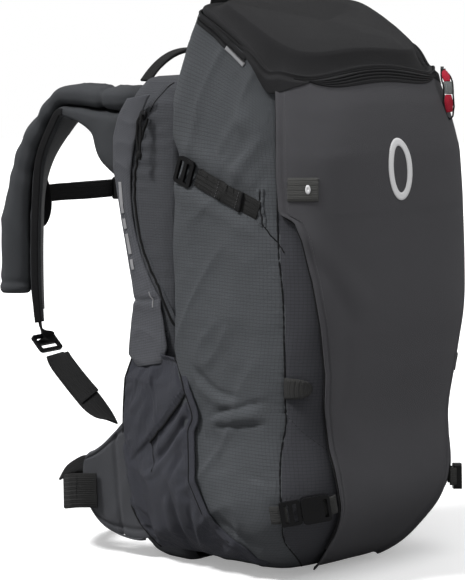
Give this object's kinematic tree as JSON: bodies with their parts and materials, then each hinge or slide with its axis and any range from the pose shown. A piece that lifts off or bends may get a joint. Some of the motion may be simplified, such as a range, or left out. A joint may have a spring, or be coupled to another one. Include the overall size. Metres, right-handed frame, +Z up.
{
  "type": "avalanche airbag backpack",
  "caption": "Touring backpack whose harness holds a folded airbag, an electric blower and a battery, with a zipped lid, a strap-mounted trigger, a hip belt and compression straps.",
  "frame": {"origin": "on the floor, centre of the flat patch that the main bag rests on, on the pack's middle line", "axes": "+Z up; the wearer's right is +X; the wearer's back is towards +Y and the front panel faces -Y"},
  "size_m": [0.3306, 0.482, 0.6079],
  "materials": {
    "ripstop": "dull woven ripstop nylon",
    "front_cloth": "smooth stretch-woven nylon, matt",
    "lid_cloth": "black coated nylon",
    "thin_nylon": "thin crinkled nylon with a low sheen",
    "pad_cloth": "padded woven nylon with a bound edge",
    "webbing": "black woven webbing",
    "black_plastic": "moulded acetal, satin",
    "sheet_plastic": "plastic sheet, satin",
    "zip_metal": "dark plated metal",
    "red_cloth": "red woven tape and cord",
    "foam": "soft matt rubber",
    "aluminium": "satin",
    "airbag_cloth": "thin coated nylon",
    "lens": "clear green, glossy"
  },
  "bodies": {
    "pack": {"main_bag": "ripstop", "front_panel": "front_cloth", "harness_unit": "ripstop", "side_fairing_left": "thin_nylon", "side_fairing_right": "thin_nylon", "back_pad_left": "pad_cloth", "back_pad_right": "pad_cloth", "lumbar_pad": "pad_cloth", "frame_sheet": "sheet_plastic", "frame_stay": "aluminium", "airbag_folded": "airbag_cloth", "battery_pack": "black_plastic", "control_box": "black_plastic", "status_lens": "lens", "blower_rear_shell": "black_plastic", "blower_front_cover": "black_plastic", "intake_grille": "black_plastic", "motor": "aluminium", "air_duct": "sheet_plastic", "shoulder_strap_left": "pad_cloth", "shoulder_strap_right": "pad_cloth", "trigger_pouch": "pad_cloth", "lower_webbing_left": "webbing", "lower_webbing_right": "webbing", "compression_strap_left": "webbing", "compression_strap_right": "webbing", "lower_socket_left": "black_plastic", "lower_socket_right": "black_plastic"},
    "lid": {"lid": "lid_cloth"},
    "lid_front_slider": {"lid_front_slider": "zip_metal"},
    "lid_front_pull": {"lid_front_pull": "red_cloth"},
    "lid_side_slider": {"lid_side_slider": "zip_metal"},
    "lid_side_pull": {"lid_side_pull": "red_cloth"},
    "burst_slider": {"burst_slider": "zip_metal"},
    "burst_pull": {"burst_pull": "webbing"},
    "airbag_cover_left": {"airbag_cover_left": "ripstop"},
    "airbag_cover_right": {"airbag_cover_right": "ripstop"},
    "blower_rotor": {"impeller": "sheet_plastic", "motor_shaft": "aluminium"},
    "check_valve": {"check_valve_flap": "foam"},
    "power_button": {"power_button": "foam"},
    "trigger": {"trigger_handle": "foam"},
    "strap_lock_left": {"strap_ladder_lock_left": "black_plastic"},
    "strap_lock_right": {"strap_ladder_lock_right": "black_plastic"},
    "sternum_strap": {"sternum_webbing_left": "webbing", "sternum_webbing_right": "webbing", "sternum_socket": "black_plastic"},
    "sternum_plug": {"sternum_plug": "black_plastic"},
    "hip_left": {"hip_wing_left": "pad_cloth", "belt_webbing_left": "webbing", "belt_plug": "black_plastic"},
    "hip_right": {"hip_wing_right": "pad_cloth", "belt_webbing_right": "webbing", "belt_socket": "black_plastic"},
    "haul_loop": {"haul_loop": "webbing"},
    "compression_lock_left": {"compression_lock_left": "black_plastic"},
    "compression_lock_right": {"compression_lock_right": "black_plastic"},
    "lower_plug_left": {"lower_plug_left": "black_plastic"},
    "lower_plug_right": {"lower_plug_right": "black_plastic"}
  },
  "joints": [
    {"name": "lid_hinge", "type": "hinge", "parent": "pack", "child": "lid", "pos_m": [0, 0.0195, 0.5976], "axis": [-1, 0, 0], "range_deg": [0, 105]},
    {"name": "lid_front_zip", "type": "hinge", "parent": "pack", "child": "lid_front_slider", "pos_m": [0, 0.2383, 0.385], "axis": [0, 0.3838, 0.9234], "range_deg": [-35, 0]},
    {"name": "lid_front_pull_swing", "type": "hinge", "parent": "lid_front_slider", "child": "lid_front_pull", "pos_m": [0.1255, -0.1105, 0.529], "axis": [-0.7828, -0.6223, 0], "range_deg": [0, 95]},
    {"name": "lid_side_zip", "type": "slide", "parent": "pack", "child": "lid_side_slider", "axis": [0, 0, 1], "range_m": [0, 0.02]},
    {"name": "lid_side_pull_swing", "type": "hinge", "parent": "lid_side_slider", "child": "lid_side_pull", "pos_m": [0.1483, -0.0862, 0.501], "axis": [-0.239, -0.971, 0], "range_deg": [0, 95]},
    {"name": "burst_zip", "type": "hinge", "parent": "pack", "child": "burst_slider", "pos_m": [-0.1332, -0.064, 0.406], "axis": [-1, 0, 0], "range_deg": [0, 50]},
    {"name": "burst_pull_swing", "type": "hinge", "parent": "burst_slider", "child": "burst_pull", "pos_m": [-0.1382, 0.092, 0.4841], "axis": [0, 1, 0], "range_deg": [0, 90]},
    {"name": "airbag_cover_left_open", "type": "hinge", "parent": "pack", "child": "airbag_cover_left", "pos_m": [-0.1324, 0.121, 0.224], "axis": [0, -0.0974, -0.9952], "range_deg": [0, 100]},
    {"name": "airbag_cover_right_open", "type": "hinge", "parent": "pack", "child": "airbag_cover_right", "pos_m": [0.1324, 0.121, 0.224], "axis": [0, 0.0974, 0.9952], "range_deg": [0, 100]},
    {"name": "blower_spin", "type": "hinge", "parent": "pack", "child": "blower_rotor", "pos_m": [0, 0.095, 0.258], "axis": [0, 1, 0], "continuous": true},
    {"name": "check_valve_open", "type": "hinge", "parent": "pack", "child": "check_valve", "pos_m": [0, 0.11, 0.3984], "axis": [-1, 0, 0], "range_deg": [0, 70]},
    {"name": "power_button_press", "type": "slide", "parent": "pack", "child": "power_button", "axis": [0, 1, 0], "range_m": [0, 0.0018], "stiffness_N_per_m": 800},
    {"name": "trigger_pull", "type": "slide", "parent": "pack", "child": "trigger", "axis": [-0.0857, -0.0255, -0.996], "range_m": [0, 0.045]},
    {"name": "strap_lock_left_tilt", "type": "hinge", "parent": "pack", "child": "strap_lock_left", "pos_m": [-0.1245, 0.2652, 0.2289], "axis": [0.9987, 0.0437, 0.0271], "range_deg": [-25, 25]},
    {"name": "strap_lock_right_tilt", "type": "hinge", "parent": "pack", "child": "strap_lock_right", "pos_m": [0.1245, 0.2652, 0.2289], "axis": [-0.9987, 0.0437, 0.0271], "range_deg": [-25, 25]},
    {"name": "sternum_strap_height", "type": "slide", "parent": "pack", "child": "sternum_strap", "axis": [0, 0, 1], "range_m": [-0.022, 0.022]},
    {"name": "sternum_plug_release", "type": "slide", "parent": "sternum_strap", "child": "sternum_plug", "axis": [-1, 0, 0], "range_m": [0, 0.014]},
    {"name": "hip_wing_left_swing", "type": "hinge", "parent": "pack", "child": "hip_left", "pos_m": [-0.133, 0.14, 0.084], "axis": [0, 0, 1], "range_deg": [0, 55]},
    {"name": "hip_wing_right_swing", "type": "hinge", "parent": "pack", "child": "hip_right", "pos_m": [0.133, 0.14, 0.084], "axis": [0, 0, -1], "range_deg": [0, 55]},
    {"name": "haul_loop_fold", "type": "hinge", "parent": "pack", "child": "haul_loop", "pos_m": [0, 0.146, 0.518], "axis": [-1, 0, 0], "range_deg": [-30, 75]},
    {"name": "compression_lock_left_tilt", "type": "hinge", "parent": "pack", "child": "compression_lock_left", "pos_m": [-0.1524, 0.024, 0.4315], "axis": [0, 0.3304, -0.9438], "range_deg": [0, 40]},
    {"name": "compression_lock_right_tilt", "type": "hinge", "parent": "pack", "child": "compression_lock_right", "pos_m": [0.1524, 0.024, 0.4315], "axis": [0, -0.3304, 0.9438], "range_deg": [0, 40]},
    {"name": "lower_plug_left_release", "type": "slide", "parent": "pack", "child": "lower_plug_left", "axis": [-0.7413, 0.6523, -0.1581], "range_m": [0, 0.014]},
    {"name": "lower_plug_right_release", "type": "slide", "parent": "pack", "child": "lower_plug_right", "axis": [0.7413, 0.6523, -0.1581], "range_m": [0, 0.014]}
  ]
}
